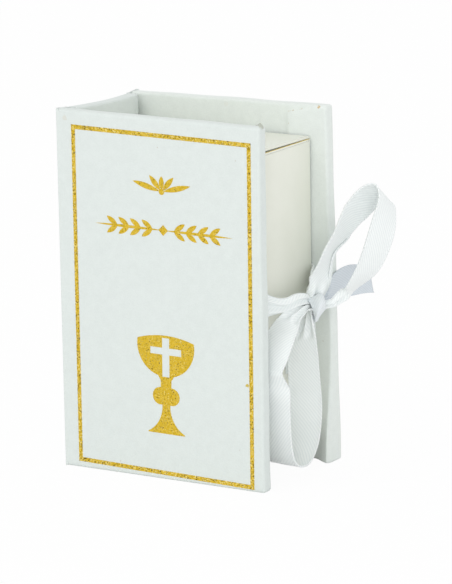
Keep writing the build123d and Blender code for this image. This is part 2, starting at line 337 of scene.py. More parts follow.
@dataclass(frozen=True)
class Lap:
    """The paper turned in at the fore-edge, which lies over the paper beside it, drawn slightly darker.

    Its long side is cut at X equal to cut, and both its ends slant away from the corners.
    """

    cut: float = 0.0136
    corner: float = 0.0334
    slope: float = 0.239
    middle: float = 0.035
    inside: float = 0.0126
    fade: float = 0.00005
    side_glue: tuple[float, float] = (0.00018, 0.00005)
    slant_glue: tuple[float, float] = (0.00016, 0.00004)
    depth_fade: float = 0.0002
    glue_breaks: float = 2100.0
    glue_gaps: tuple[float, float] = (0.56, 0.68)
    glue_share: float = 0.5
    # The tone multiplied into the paper beside the lap, drawing it slightly darker.
    beside_tone: str = "#FDFDFC"
    glue: str = "#B0893F"

    def over(self, w: Wiring, place: Any, base: Any) -> Socket:
        """Darken the paper beside the lap, and add broken brown glue along the lap's cut edge.

        Args:
            w: The material's wiring.
            place: The point on the object.
            base: The paper's colour so far.

        Returns:
            The new colour.
        """
        x, y, z = w.axes(place)
        past = w.math("SUBTRACT", x, self.cut)
        level = w.math("ABSOLUTE", w.math("SUBTRACT", z, self.middle))
        above = w.math("SUBTRACT", level, w.plus(self.corner, w.times(past, self.slope)))
        depth = w.spread(y, self.inside, self.inside - self.depth_fade)
        past_end = w.spread(above, -self.fade, self.fade)
        beside = w.times(w.math("MAXIMUM", w.spread(past, self.fade, -self.fade), past_end), depth)
        # The paper beside the lap is drawn slightly darker than the lap itself.
        base = w.mix(beside, base, w.mix(1.0, base, colour(self.beside_tone), "MULTIPLY"))
        near_side = w.spread(w.math("ABSOLUTE", past), *self.side_glue)
        on_side = w.times(near_side, w.spread(above, self.depth_fade, 0.0))
        near_slant = w.spread(w.math("ABSOLUTE", above), *self.slant_glue)
        on_slant = w.times(near_slant, w.spread(past, -2.0 * self.fade, 2.0 * self.fade))
        broken = w.spread(w.noise(place, self.glue_breaks), *self.glue_gaps, 0.0, self.glue_share)
        edge = w.times(w.math("MAXIMUM", on_side, on_slant), broken)
        return w.over(w.times(edge, depth), base, self.glue)


@dataclass(frozen=True)
class Mark:
    """One small stain or fleck with a ragged outline."""

    spot: Point
    size: float
    tint: str
    share: float
    ragged: float = 1.2
    core: float = 0.55

    def over(self, w: Wiring, place: Any, base: Any) -> Socket:
        """Tint the paper round the mark's spot.

        Args:
            w: The material's wiring.
            place: The point on the object.
            base: The paper's colour so far.

        Returns:
            The new colour.
        """
        away = w.add("ShaderNodeVectorMath", {0: place, 1: self.spot}, operation="DISTANCE").outputs["Value"]
        rough = w.times(w.math("SUBTRACT", w.noise(place, 2400.0), 0.5), self.size * self.ragged)
        mask = w.spread(w.plus(away, rough), self.size, self.size * self.core, 0.0, self.share)
        return w.over(mask, base, self.tint)


class Finish:
    """A material made of one Principled shader."""

    name: str

    def surface(self, w: Wiring) -> dict[str, Any]:
        """Wire the finish, and return the shader's inputs by name."""
        raise NotImplementedError

    def build(self) -> Material:
        """Make the material from its surface.

        Returns:
            The new material.
        """
        material = bpy.data.materials.new(self.name)
        material.use_nodes = True
        w = Wiring(material.node_tree)
        shader = w.add("ShaderNodeBsdfPrincipled", self.surface(w))
        w.add("ShaderNodeOutputMaterial", {"Surface": shader.outputs[0]})
        return material


@dataclass(frozen=True)
class PaperFinish(Finish):
    """Soft uncoated paper with matted fibres, faint specks and rubbed edges."""

    name: str
    light: str
    shade: str
    speck: str = "#B9AFA0"
    rubbed: str = "#CFD6D3"
    fibre: float = 0.0002
    relief: float = 0.00003
    roughness: float = 0.82
    uneven: float = 0.06
    span: tuple[float, float] = (0.36, 0.64)
    speck_spacing: float = 0.0034
    speck_size: float = 0.00013
    speck_share: float = 0.16
    speck_strength: float = 0.55
    rub_start: float = 0.53
    rub_strength: float = 0.35
    lap: Lap | None = None
    marks: tuple[Mark, ...] = ()

    def surface(self, w: Wiring) -> dict[str, Any]:
        """Wire the paper, its specks and its marks.

        Args:
            w: The material's wiring.

        Returns:
            The shader's inputs by name.
        """
        place = w.place()
        felt = FELT.into(w, place, Size=self.fibre)
        base = w.tones(felt["Tone"], self.span, self.shade, self.light)
        spacing, size = self.speck_spacing, self.speck_size
        specks = SPECKS.into(w, place, Spacing=spacing, Size=size, Share=self.speck_share)
        base = w.over(w.times(specks["Spot"], self.speck_strength), base, self.speck)
        rubbed = RUBBED.into(w, place, Start=self.rub_start)
        base = w.over(w.times(rubbed["Rub"], self.rub_strength), base, self.rubbed)
        for detail in (self.lap, *self.marks):
            if detail:
                base = detail.over(w, place, base)
        rough, uneven = self.roughness, self.uneven
        return {
            "Base Color": base,
            "Roughness": w.spread(felt["Tone"], 0.3, 0.7, rough + uneven, rough - uneven),
            "Normal": w.bump(felt["Height"], self.relief),
            "Specular IOR Level": 0.3,
            "Sheen Weight": 0.15,
            "Sheen Roughness": 0.5,
        }


@dataclass(frozen=True)
class BoardFinish(Finish):
    """Pressed grey board with long fibres."""

    name: str = "grey_board"
    light: str = "#B9B4A8"
    dark: str = "#8F897C"
    fibre: float = 0.0006
    stretch: Point = (1.0, 1.0, 5.0)
    span: tuple[float, float] = (0.35, 0.65)
    relief: float = 0.00008

    def surface(self, w: Wiring) -> dict[str, Any]:
        """Wire the board's fibres.

        Args:
            w: The material's wiring.

        Returns:
            The shader's inputs by name.
        """
        felt = FELT.into(w, w.place(self.stretch), Size=self.fibre)
        return {
            "Base Color": w.tones(felt["Tone"], self.span, self.dark, self.light),
            "Roughness": w.spread(felt["Tone"], 0.3, 0.7, 0.95, 0.85),
            "Normal": w.bump(felt["Height"], self.relief),
        }


@dataclass(frozen=True)
class CardFinish(Finish):
    """Smooth cream card with a pearl lustre, and a painted warm reflection as a golden line at the slit
    under the lid.
    """

    name: str = "pearl_card"
    light: str = "#E8EADE"
    shade: str = "#E3E5D8"
    pearl: str = "#FFFFFF"
    speck: str = "#A79F8C"
    # Golden colour of the painted warm reflection in the shadowed slit under the lid.
    slit_reflection: str = "#E8CC6A"
    slit_height: float = 0.0635
    slit_start: float = 0.01832
    slit_fade: tuple[float, float] = (0.00011, 0.00005)
    roughness: float = 0.42
    uneven: float = 0.05
    clouds: float = 70.0
    span: tuple[float, float] = (0.35, 0.65)
    pearls: float = 14000.0
    pearl_strength: float = 0.12
    pearl_relief: float = 0.01
    speck_spacing: float = 0.006
    speck_size: float = 0.0001
    speck_share: float = 0.12
    speck_strength: float = 0.4
    relief: float = 0.00006

    def surface(self, w: Wiring) -> dict[str, Any]:
        """Wire the card, its specks and the golden line of painted reflection at the slit.

        Args:
            w: The material's wiring.

        Returns:
            The shader's inputs by name.
        """
        place = w.place()
        cloud = w.noise(place, self.clouds, 3.0)
        pearl = w.cells(place, self.pearls).outputs["Distance"]
        base = w.tones(cloud, self.span, self.shade, self.light)
        base = w.over(w.times(pearl, self.pearl_strength), base, self.pearl)
        spacing, size = self.speck_spacing, self.speck_size
        specks = SPECKS.into(w, place, Spacing=spacing, Size=size, Share=self.speck_share)
        base = w.over(w.times(specks["Spot"], self.speck_strength), base, self.speck)
        # Painted reflection: a golden band at the slit's height near the fore-edge stands in for warm light
        # in the shadowed gap under the lid.
        x, _, z = w.axes(place)
        level = w.math("ABSOLUTE", w.math("SUBTRACT", z, self.slit_height))
        slit_reflection = w.times(w.spread(level, *self.slit_fade), w.math("GREATER_THAN", x, self.slit_start))
        rough, uneven = self.roughness, self.uneven
        return {
            "Base Color": w.over(slit_reflection, base, self.slit_reflection),
            "Roughness": w.spread(cloud, 0.3, 0.7, rough + uneven, rough - uneven),
            "Normal": w.bump(w.plus(cloud, w.times(pearl, self.pearl_relief)), self.relief),
            "Specular IOR Level": 0.55,
            "Coat Weight": 0.25,
            "Coat Roughness": 0.35,
        }


@dataclass(frozen=True)
class FoilFinish(Finish):
    """Gold glitter foil whose flakes catch the light one by one."""

    name: str = "gold_glitter_foil"
    deep: str = "#6E5710"
    gold: str = "#E0BD31"
    bright: str = "#FBE58C"
    flake: float = 0.00019
    roughness: float = 0.38
    uneven: float = 0.15
    dark_share: float = 0.28
    bright_share: float = 0.28
    patches: float = 900.0
    patch_span: tuple[float, float] = (0.58, 0.72)
    patch_share: float = 0.35
    relief: float = 0.00009

    def surface(self, w: Wiring) -> dict[str, Any]:
        """Wire the flakes, each with its own colour, gloss and tilt.

        Args:
            w: The material's wiring.

        Returns:
            The shader's inputs by name.
        """
        place = w.place()
        flakes = w.cells(place, 1.0 / self.flake)
        first, second, third = w.add("ShaderNodeSeparateColor", {0: flakes.outputs["Color"]}).outputs[:]
        base = w.tones(first, (0.0, self.dark_share), self.deep, self.gold)
        base = w.over(w.spread(second, 1.0 - self.bright_share, 1.0), base, self.bright)
        cloud = w.noise(place, self.patches, 3.0)
        patches = w.spread(cloud, *self.patch_span, 0.0, self.patch_share)
        rough, uneven = self.roughness, self.uneven
        return {
            "Base Color": w.over(patches, base, self.deep),
            "Metallic": w.spread(third, 0.0, 1.0, 0.55, 0.95),
            "Roughness": w.spread(second, 0.0, 1.0, rough + uneven, rough - uneven),
            "Normal": w.bump(third, self.relief),
        }


@dataclass(frozen=True)
class SatinFinish(Finish):
    """White satin ribbon with a fine twill across it, and painted shade on some lengths."""

    name: str = "white_satin"
    light: str = "#F4F8F7"
    groove: str = "#EBF0F0"
    # Blue-grey multiplied into the colour as painted shade on the tail and knot.
    shade: str = "#E1E5EC"
    pitch: float = 0.00052
    lean: float = 40.0
    waver: float = 0.5
    grain: float = 0.25
    span: tuple[float, float] = (0.1, 0.8)
    cloud_span: tuple[float, float] = (0.4, 0.7)
    cloud_share: float = 0.25
    relief: float = 0.000014

    def surface(self, w: Wiring) -> dict[str, Any]:
        """Wire the twill along the cloth's own places, and the painted shade on the shaded lengths.

        Args:
            w: The material's wiring.

        Returns:
            The shader's inputs by name.
        """
        woven = w.add("ShaderNodeAttribute", attribute_name="woven_place").outputs["Vector"]
        x, y, _ = w.axes(woven)
        lean = math.radians(self.lean)
        lines = w.plus(w.times(x, math.sin(lean) / self.pitch), w.times(y, math.cos(lean) / self.pitch))
        lines = w.plus(lines, w.times(w.noise(woven, 600.0), self.waver))
        twill = w.spread(w.math("SINE", w.times(lines, 2.0 * math.pi)), -1.0, 1.0)
        fine = w.times(w.noise(woven, 5200.0), self.grain)
        body = w.plus(w.times(twill, 1.0 - self.grain), fine)
        base = w.tones(body, self.span, self.groove, self.light)
        cloud = w.spread(w.noise(w.place(), 160.0), *self.cloud_span, 0.0, self.cloud_share)
        base = w.over(cloud, base, self.groove)
        # Painted shade: the colour is multiplied towards the blue-grey tone by each point's stored shade.
        shaded = w.add("ShaderNodeAttribute", attribute_name="shaded").outputs["Fac"]
        return {
            "Base Color": w.mix(shaded, base, w.mix(1.0, base, colour(self.shade), "MULTIPLY")),
            "Roughness": w.spread(body, 0.0, 1.0, 0.5, 0.34),
            "Normal": w.bump(body, self.relief),
            "Specular IOR Level": 0.5,
            "Sheen Weight": 0.25,
            "Sheen Roughness": 0.35,
        }


@dataclass(frozen=True)
class GlueFinish(Finish):
    """Brown hot glue, slightly cloudy."""

    name: str = "brown_glue"
    light: str = "#C79A5C"
    dark: str = "#9A6A33"
    clouds: float = 500.0
    span: tuple[float, float] = (0.35, 0.65)
    relief: float = 0.0001

    def surface(self, w: Wiring) -> dict[str, Any]:
        """Wire the glue's clouds.

        Args:
            w: The material's wiring.

        Returns:
            The shader's inputs by name.
        """
        cloud = w.noise(w.place(), self.clouds, 3.0)
        return {
            "Base Color": w.tones(cloud, self.span, self.dark, self.light),
            "Roughness": w.spread(cloud, 0.3, 0.7, 0.35, 0.2),
            "Normal": w.bump(cloud, self.relief),
        }


FRONT_MARKS = (
    Mark((0.0191, -0.0145, 0.0207), 0.00045, "#C9B350", 1.0),
    Mark((0.0222, -0.0131, 0.0703), 0.0010, "#B2B6A6", 0.8),
    Mark((-0.0204, -0.0145, 0.0687), 0.0006, "#D2CDBD", 0.4),
)
BACK_MARKS = (
    Mark((0.0203, 0.0119, 0.0696), 0.0004, "#C9A04A", 0.7),
    Mark((-0.0004, 0.0119, 0.0688), 0.0006, "#D0C9B8", 0.15),
)
FRONT_PAPER = PaperFinish("cover_felt_paper", "#DDE4E1", "#D8DFDC", marks=FRONT_MARKS)
# Painted light: the back cover takes the same felt paper as the front, drawn lighter so that its shaded
# inside comes out bright.
LIGHTENED_BACK_PAPER = PaperFinish(
    "back_cover_lightened_paper", "#E6ECE8", "#E0E6E2", speck_share=0.24, lap=Lap(), marks=BACK_MARKS
)
LINING_PAPER = PaperFinish("lining_paper", "#E9EEEA", "#E3E8E4", fibre=0.0003)
BORDER_FOIL = FoilFinish(dark_share=0.34, bright_share=0.34)
FIGURE_FOIL = FoilFinish(
    "gold_even_foil", dark_share=0.12, bright_share=0.18, patch_share=0.15, relief=0.00005, flake=0.00015
)


@dataclass
class Finishes:
    """Every material of the box, built once."""

    cover: Material = field(default_factory=FRONT_PAPER.build)
    # The back cover's paper, drawn lighter than the front's as painted light.
    back_cover: Material = field(default_factory=LIGHTENED_BACK_PAPER.build)
    lining: Material = field(default_factory=LINING_PAPER.build)
    board: Material = field(default_factory=BoardFinish().build)
    card: Material = field(default_factory=CardFinish().build)
    border_foil: Material = field(default_factory=BORDER_FOIL.build)
    figure_foil: Material = field(default_factory=FIGURE_FOIL.build)
    satin: Material = field(default_factory=SatinFinish().build)
    glue: Material = field(default_factory=GlueFinish().build)


# Mesh helpers


def spaced(low: float, high: float, radius: float, step: float, extra: Sequence[float] = ()) -> np.ndarray:
    """Return the coordinates along one side, closer together where an edge turns.

    Args:
        low: The first coordinate.
        high: The last coordinate.
        radius: How far in from each end the edge's rounding reaches.
        step: The usual distance between two coordinates.
        extra: Further coordinates that the side needs.

    Returns:
        The sorted coordinates.
    """
    turn = radius * (1.0 - np.tan(np.radians(np.linspace(45.0, 0.0, 5))))
    count = max(2, round((high - low - 2.0 * radius) / step) + 1)
    middle = np.linspace(low + radius, high - radius, count)
    for value in extra:
        middle = middle[np.abs(middle - value) > step * 0.3]
    return np.sort(np.concatenate([low + turn[:-1], middle, high - turn[:-1], list(extra)]))


def shell(xs: np.ndarray, ys: np.ndarray, zs: np.ndarray) -> tuple[np.ndarray, Faces]:
    """Return the closed surface of a box on three lists of coordinates.

    Args:
        xs: Coordinates along X.
        ys: Coordinates along Y.
        zs: Coordinates along Z.

    Returns:
        The points and the faces.
    """
    axes = (xs, ys, zs)
    known: dict[tuple[int, ...], int] = {}
    points: list[tuple[float, ...]] = []
    faces: Faces = []
    for axis in range(3):
        a, b = (axis + 1) % 3, (axis + 2) % 3
        for end in (0, len(axes[axis]) - 1):
            for i in range(len(axes[a]) - 1):
                for j in range(len(axes[b]) - 1):
                    face = []
                    for di, dj in ((0, 0), (1, 0), (1, 1), (0, 1)):
                        key = [0, 0, 0]
                        key[axis], key[a], key[b] = end, i + di, j + dj
                        if tuple(key) not in known:
                            known[tuple(key)] = len(points)
                            points.append(tuple(axes[n][key[n]] for n in range(3)))
                        face.append(known[tuple(key)])
                    faces.append(face if end else face[::-1])
    return np.array(points), faces


def rounded(points: np.ndarray, low: Sequence[float], high: Sequence[float], radius: float) -> np.ndarray:
    """Pull the points of a box onto rounded edges.

    Args:
        points: The box's points.
        low: The lowest corner, with minus infinity where that end stays square.
        high: The highest corner, with infinity where that end stays square.
        radius: The edges' radius.

    Returns:
        The moved points.
    """
    core = np.clip(points, np.array(low) + radius, np.array(high) - radius)
    away = points - core
    length = np.linalg.norm(away, axis=1, keepdims=True)
    return np.where(length > 1e-12, core + away / np.maximum(length, 1e-12) * radius, points)


def ease(value: np.ndarray | float) -> np.ndarray:
    """Return a smooth step from 0 to 1."""
    t = np.clip(value, 0.0, 1.0)
    return t * t * (3.0 - 2.0 * t)


def ripple(a: np.ndarray, b: np.ndarray, seed: float, length: float = 0.02) -> np.ndarray:
    """Return gentle uneven waves between -1 and 1 over two coordinates.

    Args:
        a: The first coordinate.
        b: The second coordinate.
        seed: Where in the pattern the waves start.
        length: The waves' length.

    Returns:
        The waves' height at each point.
    """
    k = 2.0 * math.pi / length
    first = np.sin(a * k * 0.83 + seed) * np.sin(b * k * 0.71 + seed * 1.7)
    second = np.sin(a * k * 1.61 + b * k * 1.13 + seed * 2.3)
    return 0.6 * first + 0.4 * second


def linked(name: str, data: bpy.types.ID) -> bpy.types.Object:
    """Return a new object of the scene that holds this data.

    Args:
        name: The object's name.
        data: Its mesh, lamp or camera.

    Returns:
        The new object.
    """
    made = bpy.data.objects.new(name, data)
    bpy.context.scene.collection.objects.link(made)
    return made


def piece(
    name: str,
    points: np.ndarray,
    faces: Faces,
    material: Material,
    body: Body | None,
    slot: Slot,
    *nodes: str,
) -> bpy.types.Object:
    """Make a smooth piece that rides on a body and stands for its CAD nodes.

    Args:
        name: The piece's name.
        points: The mesh's points in the frame's axes.
        faces: The mesh's faces.
        material: The piece's finish.
        body: The body that it rides on, or None to leave it on no body.
        slot: Not used.
        nodes: The CAD nodes that it stands for.

    Returns:
        The new object.
    """
    mesh = bpy.data.meshes.new(name)
    mesh.from_pydata([tuple(p) for p in points], [], faces)
    mesh.update()
    mesh.shade_smooth()
    mesh.materials.append(material)
    made = linked(name, mesh)
    if body:
        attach(made, body.value)
    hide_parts(*nodes)
    return made


def node_piece(name: str, material: Material, edge: float) -> None:
    """Give a CAD node its finish and softly broken edges.

    Args:
        name: The node's name.
        material: Its finish.
        edge: How wide its edges are broken, or 0 to leave them sharp.
    """
    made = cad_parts[name]
    made.data.materials.clear()
    made.data.materials.append(material)
    if edge > 0.0:
        bevel = made.modifiers.new("broken_edges", "BEVEL")
        bevel.width = edge
        bevel.segments = 3
        bevel.limit_method = "ANGLE"
        bevel.angle_limit = math.radians(40.0)
        bevel.harden_normals = True
        made.data.shade_smooth()


def headings(points: np.ndarray) -> np.ndarray:
    """Return a line's direction at each of its points, with length 1."""
    heading = np.gradient(points, axis=0)
    return heading / np.linalg.norm(heading, axis=1, keepdims=True)


def run_along(points: np.ndarray) -> np.ndarray:
    """Return the length of a line up to each of its points."""
    return np.concatenate([[0.0], np.cumsum(np.linalg.norm(np.diff(points, axis=0), axis=1))])


def section(outside: np.ndarray, inside: np.ndarray) -> np.ndarray:
    """Return the points of a strip's section, up its outside and back down its inside."""
    return np.concatenate([outside, inside[::-1]])


def strip_faces(rings: int, across: int) -> Faces:
    """Return the faces of a strip made of such sections, ends included.

    Args:
        rings: Sections along the strip.
        across: Points on each of a section's two sides.

    Returns:
        The faces, with the points counted section by section.
    """
    around = across * 2
    faces: Faces = []
    for ring in range(rings - 1):
        for i in range(around):
            a, b = ring * around + i, ring * around + (i + 1) % around
            faces.append([a, a + around, b + around, b])
    last = (rings - 1) * around
    for i in range(across - 1):
        j = around - 1 - i
        faces.append([i, i + 1, j - 1, j])
        faces.append([last + i + 1, last + i, last + j, last + j - 1])
    return faces


# The case


HEIGHT = 0.070
PAPER = 0.0003
TURN_IN = 0.0089
RECESS = 0.00034
MESH_STEP = 0.0009
STEP_WIDTH = 0.00012
FOLD = 0.00008
FOLD_LEVELS = [z + way * FOLD for z in (TURN_IN, HEIGHT - TURN_IN) for way in (-1, 1)]
LINING_EDGE = 0.00006


def past_cut(value: np.ndarray, cut: float) -> np.ndarray:
    """Return 0 before a paper's cut edge and 1 past it."""
    return ease((value - cut) / STEP_WIDTH + 0.5)


def lined(z: np.ndarray) -> np.ndarray:
    """Return 1 between the paper turned in at the foot and at the head, and 0 over it."""
    return past_cut(z, TURN_IN) * ease((HEIGHT - TURN_IN - z) / STEP_WIDTH + 0.5)


def near_head(z: np.ndarray) -> np.ndarray:
    """Return how far up the top eighth a height is, from 0 to 1."""
    return ease(z / HEIGHT * 8.0 - 7.0)


def case_piece(
    node: str, ending: str, mesh: tuple[np.ndarray, Faces], finish: Material, body: Body, slot: Slot
) -> None:
    """Make a wrapped board's paper or core, flat up to its rounded edges.

    Args:
        node: The CAD node that the piece stands for.
        ending: The last word of the piece's name.
        mesh: The piece's points and faces.
        finish: The piece's material.
        body: The body that it rides on.
        slot: The record's material slot.
    """
    made = piece(f"{node}_{ending}", *mesh, finish, body, slot, node)
    weighted = made.modifiers.new("flat_faces", "WEIGHTED_NORMAL")
    weighted.weight = 80
    weighted.keep_sharp = False
    LOG.info("%s: %d faces", made.name, len(mesh[1]))


@dataclass
class Cover:
    """A board wrapped in paper, with its edges turned in and a lining between them.

    The swell opens the turned-in paper at the fore-edge's foot, the skew leans the fore-edge,
    and the burr is frayed paper at the head.
    """

    side: Side
    body: Body
    nodes: tuple[str, str, str]
    start: float = -0.02217
    end: float = 0.0225
    outer: float = 0.01447
    inner: float = 0.0119
    edge: float = 0.0006
    lap: float = 0.00016
    lap_rise: float = 0.0004
    slant: tuple[float, float] = (0.0046, 0.0016)
    skew: float = 0.0
    swell: float = 0.0
    swell_reach: tuple[float, float] = (0.0034, 0.026)
    head_rise: float = 0.0
    burr: float = 0.0
    burr_spot: tuple[float, float] = (0.0222, -0.0132)
    burr_size: tuple[float, float] = (0.0006, 0.0005)
    burr_rise: float = 0.0006
    face_wave: float = 0.00005
    edge_wave: float = 0.00009
    fore_wave_length: float = 0.03
    head_wave_length: float = 0.024
    head_wave_from: float = 0.066
    head_wave_rise: float = 0.002
    seed: float = 1.0

    @property
    def cut_edge(self) -> float:
        """X of the cut edge of the paper turned in at the fore-edge."""
        return self.end - TURN_IN

    def points(self, inset: float = 0.0) -> tuple[np.ndarray, Faces]:
        """Return the cover's shape, its outside facing the front.

        Args:
            inset: How far the shape stays inside the wrap, as the board does.

        Returns:
            The points and the faces.
        """
        edge = self.edge - inset * 0.8
        x_extra = [self.cut_edge - FOLD, self.cut_edge + FOLD]
        xs = spaced(self.start + inset / 3.0, self.end - inset, edge, MESH_STEP, x_extra)
        ys = spaced(inset - self.outer, -self.inner - inset, edge, MESH_STEP)
        zs = spaced(inset, HEIGHT - inset, edge, MESH_STEP, FOLD_LEVELS)
        points, faces = shell(xs, ys, zs)
        low = (-math.inf, inset - self.outer, inset)
        high = (self.end - inset, -self.inner - inset, HEIGHT - inset)
        return self.shaped(rounded(points, low, high, edge)), faces

    def shaped(self, points: np.ndarray) -> np.ndarray:
        """Give the wrap its turned-in paper, its hollow for the lining and its unevenness.

        Args:
            points: The even wrap's points.

        Returns:
            The moved points.
        """
        x, y, z = points.T.copy()
        share = (x - self.start) / (self.end - self.start)
        middle = -(self.outer + self.inner) / 2.0
        inward = ease((y - middle) / (middle + self.outer)) ** 2
        fore = past_cut(x, self.cut_edge)
        reach, margin = self.slant
        limit = margin * (1.0 - np.clip((x - self.cut_edge) / reach, 0.0, 1.0))
        clear = np.minimum(z, HEIGHT - z) - limit
        depth = self.lap * fore * ease(clear / self.lap_rise) - RECESS * (1.0 - fore) * lined(z)
        depth += self.face_wave * ripple(x, z, self.seed)
        along, up = self.swell_reach
        corner = np.exp(-(((x - self.end) / along) ** 2)) * ease(1.0 - z / up) ** 1.4
        depth += self.swell * corner * (x > self.cut_edge)
        y = y + depth * inward
        fore_wave = self.edge_wave * ripple(z, y, self.seed + 1.0, self.fore_wave_length)
        x = x + fore_wave * ease(share * 8.0 - 7.0)
        x = x - self.skew * (z / HEIGHT - 0.5) * 2.0 * ease(share * 2.0 - 1.0)
        z = z + self.head_rise * (1.0 - share) * near_head(z)
        spot_x, spot_y = self.burr_spot
        wide, deep = self.burr_size
        away = ((x - spot_x) / wide) ** 2 + ((y - spot_y) / deep) ** 2
        frayed = self.burr * np.exp(-away) * ease((z - HEIGHT) / self.burr_rise + 1.0)
        head_wave = self.edge_wave * ripple(x, y, self.seed + 2.0, self.head_wave_length)
        z = z + head_wave * ease((z - self.head_wave_from) / self.head_wave_rise) + frayed
        return np.stack([x, y, z], axis=1)

    def build(self, finishes: Finishes) -> None:
        """Make the wrap and the board, and finish the lining inside it.

        Args:
            finishes: The box's materials.
        """
        wrap, board, lining = self.nodes
        paper = finishes.back_cover if self.side is Side.BACK else finishes.cover
        for node, ending, inset, finish, slot in (
            (wrap, "paper", 0.0, paper, Slot.COVER_PAPER),
            (board, "core", PAPER, finishes.board, Slot.BOARD),
        ):
            points, faces = self.points(inset)
            if self.side is Side.BACK:
                points[:, 1] *= -1.0
                faces = [face[::-1] for face in faces]
            case_piece(node, ending, (points, faces), finish, self.body, slot)
        node_piece(lining, finishes.lining, LINING_EDGE)


@dataclass
class Spine:
    """The narrow board at the back of the book, with a bare paper hinge on each side.

    The hinges' tops rise to a small peak at the corner, and their lips are cut short.
    """

    outer: float = -0.0225
    inner: float = -0.0199
    half: float = 0.0108
    edge: float = 0.0005
    sag: float = 0.00045
    head_lean: float = 0.00035
    case_half: float = 0.0145
    groove: float = 0.00012
    groove_width: float = 0.0014
    bend: float = 0.00034
    lip: float = 0.0009
    peak: float = 0.00012
    peak_width: float = 0.0016
    lip_cut: float = 0.0005
    cut_from: float = 0.0002
    lip_steps: tuple[float, ...] = (0.25, 0.6, 1.0)
    lip_lean: tuple[float, ...] = (0.00001, 0.00003, 0.00008)
    hinge_paper: float = 0.00018
    blend_reach: float = 0.0007
    bow_height: float = 0.00006
    bow_seed: float = 4.2
    bow_length: float = 0.018

    def top_drop(self, y: np.ndarray) -> np.ndarray:
        """Return how far the top edge sags between the two covers."""
        share = np.clip((y + self.case_half) / (2.0 * self.case_half), 0.0, 1.0)
        return self.sag * np.sin(math.pi * share**1.3) + self.head_lean * (2.0 * share - 1.0)

    def bow(self, y: np.ndarray, z: np.ndarray) -> np.ndarray:
        """Return the slight unevenness of the outside face."""
        return self.bow_height * ripple(y, z, self.bow_seed, self.bow_length)

    def build(self, finishes: Finishes) -> None:
        """Make the spine's wrap, board and hinges, and finish the lining.

        Args:
            finishes: The box's materials.
        """
        wrap, board = self.block(0.0), self.block(PAPER)
        case_piece("spine_wrap", "paper", wrap, finishes.cover, Body.SPINE, Slot.COVER_PAPER)
        case_piece("spine_board", "core", board, finishes.board, Body.SPINE, Slot.BOARD)
        self.build_hinge(finishes, Side.FRONT, Body.FRONT, "front_hinge_strip")
        self.build_hinge(finishes, Side.BACK, Body.BACK, "back_hinge_strip")
        node_piece("spine_lining", finishes.lining, LINING_EDGE)

    def block(self, inset: float) -> tuple[np.ndarray, Faces]:
        """Return the shape of the paper round the spine board, or of the board inside it.

        Args:
            inset: How far the shape stays inside the paper.

        Returns:
            The points and the faces.
        """
        edge = self.edge - inset * 0.8
        half = self.half - inset / 3.0
        xs = spaced(self.outer + inset, self.inner - inset, edge, MESH_STEP)
        ys = np.linspace(-half, half, round(2.0 * half / MESH_STEP) + 1)
        zs = spaced(inset, HEIGHT - inset, edge, MESH_STEP, FOLD_LEVELS)
        points, faces = shell(xs, ys, zs)
        low = (self.outer + inset, -math.inf, inset)
        high = (self.inner - inset, math.inf, HEIGHT - inset)
        x, y, z = rounded(points, low, high, edge).T.copy()
        middle = (self.outer + self.inner) / 2.0
        inward = ease((x - middle) / (self.inner - middle)) ** 2
        outward = ease((middle - x) / (middle - self.outer))
        x = x - RECESS * lined(z) * inward + self.bow(y, z) * outward
        z = z - self.top_drop(y) * near_head(z)
        return np.stack([x, y, z], axis=1), faces

    def hinge_outline(self) -> np.ndarray:
        """Return the bare hinge's section, up its outside and back down its inside.

        Returns:
            The section's points from above.
        """
        corner_y = self.case_half - self.bend
        flat_y = self.half + (corner_y - self.half) * np.linspace(0.0, 1.0, 9)
        dip = np.sin(math.pi * np.clip((flat_y - self.half) / self.groove_width, 0.0, 1.0))
        turn = np.radians(np.linspace(15.0, 90.0, 6))
        turn_x = self.outer + self.bend * (1.0 - np.cos(turn))
        lip_x = self.outer + self.bend + self.lip * np.array(self.lip_steps)
        lip_y = self.case_half - np.array(self.lip_lean)
        x = np.concatenate([self.outer + self.groove * dip, turn_x, lip_x])
        y = np.concatenate([flat_y, corner_y + self.bend * np.sin(turn), lip_y])
        outside = np.stack([x, y], axis=1)
        heading = headings(outside)
        inside = outside + np.stack([heading[:, 1], -heading[:, 0]], axis=1) * self.hinge_paper
        return section(outside, inside)

    def build_hinge(self, finishes: Finishes, side: Side, body: Body, node: str) -> None:
        """Make one bare paper hinge, which runs from the spine to a cover.

        Args:
            finishes: The box's materials.
            side: The cover's side.
            body: The cover's body.
            node: The CAD node that the hinge stands for.
        """
        ring_x, ring_y = self.hinge_outline().T
        levels = spaced(0.0, HEIGHT, self.edge, MESH_STEP)
        corner = np.hypot(ring_x - self.outer, ring_y - self.case_half)
        lift = self.peak * np.exp(-((corner / self.peak_width) ** 2))
        cut = self.lip_cut * ease((ring_x - self.outer - self.cut_from) / self.lip)
        flat = ring_y < self.case_half - self.bend
        y = side.value * ring_y
        rows = []
        for level in levels:
            top = float(ease(level / HEIGHT * 10.0 - 9.0))
            foot = float(ease(1.0 - level / HEIGHT * 10.0))
            z = level - self.top_drop(y) * top + (lift - cut) * top + cut * foot
            x = ring_x + self.bow(y, np.full(len(y), level)) * flat
            rows.append(np.stack([x, y, z], axis=1))
        faces = strip_faces(len(levels), len(ring_y) // 2)
        if side is Side.FRONT:
            faces = [face[::-1] for face in faces]
        made = piece(
            f"{node}_paper", np.concatenate(rows), faces, finishes.cover, None, Slot.COVER_PAPER, node
        )
        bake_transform(made)
        LOG.info("%s bends between %s and %s", made.name, Body.SPINE.value, body.value)


